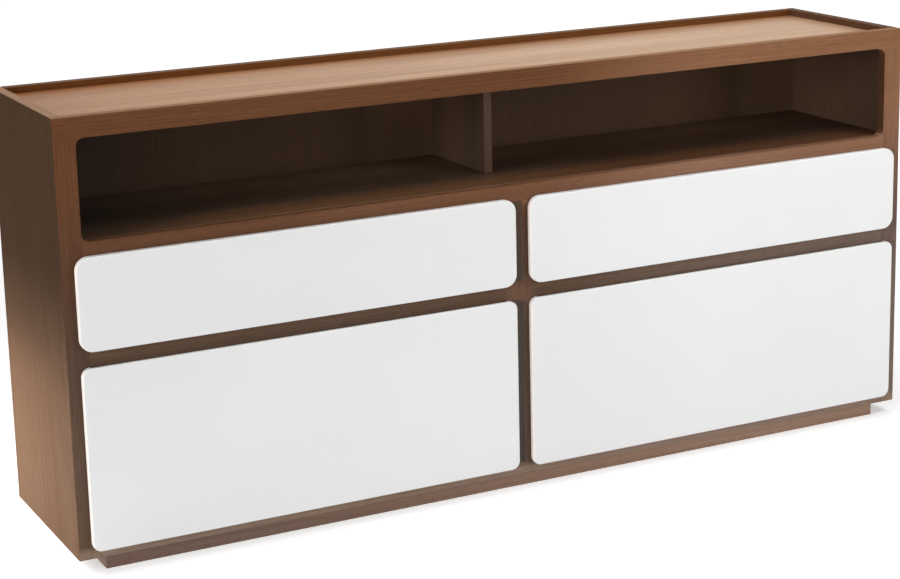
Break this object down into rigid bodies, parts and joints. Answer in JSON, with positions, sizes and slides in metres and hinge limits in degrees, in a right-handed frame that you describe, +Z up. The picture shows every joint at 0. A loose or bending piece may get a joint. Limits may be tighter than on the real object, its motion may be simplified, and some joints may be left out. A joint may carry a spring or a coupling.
{
  "type": "dresser",
  "caption": "Low wide dresser: tray top, open cubby with a recessed divider over overlay drawers on telescopic runners, recessed plinth.",
  "frame": {"origin": "on the floor, below the middle of the whole dresser's bounding box", "axes": "+X along the width to the viewer's right, the drawers open towards -Y, +Z up"},
  "size_m": [1.7, 0.374, 0.78],
  "materials": {
    "walnut_veneer": "walnut-stained veneer, satin",
    "white_lacquer": "white lacquer on board, satin",
    "carcass_board": "brown faced board, matt",
    "back_board": "dark faced board, matt",
    "drawer_wood": "clear-lacquered solid beech",
    "drawer_panel": "clear-lacquered plywood",
    "runner_steel": "zinc-plated"
  },
  "bodies": {
    "carcass": {"side_panel_left": "walnut_veneer", "side_panel_right": "walnut_veneer", "face_frame": "walnut_veneer", "top_board": "walnut_veneer", "cubby_shelf": "walnut_veneer", "bottom_board": "walnut_veneer", "back_panel": "back_board", "back_rim_rail": "walnut_veneer", "cubby_divider": "walnut_veneer", "centre_partition": "carcass_board", "runner_packer_left": "carcass_board", "runner_packer_right": "carcass_board", "plinth_front": "walnut_veneer", "plinth_back": "walnut_veneer", "plinth_left": "walnut_veneer", "plinth_right": "walnut_veneer", "lower_left_drawer_runner_inner_outer_member": "runner_steel", "lower_left_drawer_runner_outer_outer_member": "runner_steel", "lower_right_drawer_runner_inner_outer_member": "runner_steel", "lower_right_drawer_runner_outer_outer_member": "runner_steel", "upper_left_drawer_runner_inner_outer_member": "runner_steel", "upper_left_drawer_runner_outer_outer_member": "runner_steel", "upper_right_drawer_runner_inner_outer_member": "runner_steel", "upper_right_drawer_runner_outer_outer_member": "runner_steel"},
    "lower_left_drawer": {"lower_left_drawer_front": "white_lacquer", "lower_left_drawer_side_inner": "drawer_wood", "lower_left_drawer_side_outer": "drawer_wood", "lower_left_drawer_back": "drawer_wood", "lower_left_drawer_bottom": "drawer_panel", "lower_left_drawer_runner_inner_inner_member": "runner_steel", "lower_left_drawer_runner_outer_inner_member": "runner_steel"},
    "lower_right_drawer": {"lower_right_drawer_front": "white_lacquer", "lower_right_drawer_side_inner": "drawer_wood", "lower_right_drawer_side_outer": "drawer_wood", "lower_right_drawer_back": "drawer_wood", "lower_right_drawer_bottom": "drawer_panel", "lower_right_drawer_runner_inner_inner_member": "runner_steel", "lower_right_drawer_runner_outer_inner_member": "runner_steel"},
    "upper_left_drawer": {"upper_left_drawer_front": "white_lacquer", "upper_left_drawer_side_inner": "drawer_wood", "upper_left_drawer_side_outer": "drawer_wood", "upper_left_drawer_back": "drawer_wood", "upper_left_drawer_bottom": "drawer_panel", "upper_left_drawer_runner_inner_inner_member": "runner_steel", "upper_left_drawer_runner_outer_inner_member": "runner_steel"},
    "upper_right_drawer": {"upper_right_drawer_front": "white_lacquer", "upper_right_drawer_side_inner": "drawer_wood", "upper_right_drawer_side_outer": "drawer_wood", "upper_right_drawer_back": "drawer_wood", "upper_right_drawer_bottom": "drawer_panel", "upper_right_drawer_runner_inner_inner_member": "runner_steel", "upper_right_drawer_runner_outer_inner_member": "runner_steel"},
    "lower_left_middle_members": {"lower_left_drawer_runner_inner_middle_member": "runner_steel", "lower_left_drawer_runner_outer_middle_member": "runner_steel"},
    "lower_right_middle_members": {"lower_right_drawer_runner_inner_middle_member": "runner_steel", "lower_right_drawer_runner_outer_middle_member": "runner_steel"},
    "upper_left_middle_members": {"upper_left_drawer_runner_inner_middle_member": "runner_steel", "upper_left_drawer_runner_outer_middle_member": "runner_steel"},
    "upper_right_middle_members": {"upper_right_drawer_runner_inner_middle_member": "runner_steel", "upper_right_drawer_runner_outer_middle_member": "runner_steel"}
  },
  "joints": [
    {"name": "lower_left_drawer_slide", "type": "slide", "parent": "carcass", "child": "lower_left_drawer", "axis": [0, -1, 0], "range_m": [0, 0.29]},
    {"name": "lower_right_drawer_slide", "type": "slide", "parent": "carcass", "child": "lower_right_drawer", "axis": [0, -1, 0], "range_m": [0, 0.29]},
    {"name": "upper_left_drawer_slide", "type": "slide", "parent": "carcass", "child": "upper_left_drawer", "axis": [0, -1, 0], "range_m": [0, 0.29]},
    {"name": "upper_right_drawer_slide", "type": "slide", "parent": "carcass", "child": "upper_right_drawer", "axis": [0, -1, 0], "range_m": [0, 0.29]},
    {"name": "lower_left_middle_slide", "type": "slide", "parent": "carcass", "child": "lower_left_middle_members", "axis": [0, -1, 0], "range_m": [0, 0.145]},
    {"name": "lower_right_middle_slide", "type": "slide", "parent": "carcass", "child": "lower_right_middle_members", "axis": [0, -1, 0], "range_m": [0, 0.145]},
    {"name": "upper_left_middle_slide", "type": "slide", "parent": "carcass", "child": "upper_left_middle_members", "axis": [0, -1, 0], "range_m": [0, 0.145]},
    {"name": "upper_right_middle_slide", "type": "slide", "parent": "carcass", "child": "upper_right_middle_members", "axis": [0, -1, 0], "range_m": [0, 0.145]}
  ],
  "couplings": [
    {"joint": "lower_left_middle_slide", "follows": "lower_left_drawer_slide", "ratio": 0.5},
    {"joint": "lower_right_middle_slide", "follows": "lower_right_drawer_slide", "ratio": 0.5},
    {"joint": "upper_left_middle_slide", "follows": "upper_left_drawer_slide", "ratio": 0.5},
    {"joint": "upper_right_middle_slide", "follows": "upper_right_drawer_slide", "ratio": 0.5}
  ]
}
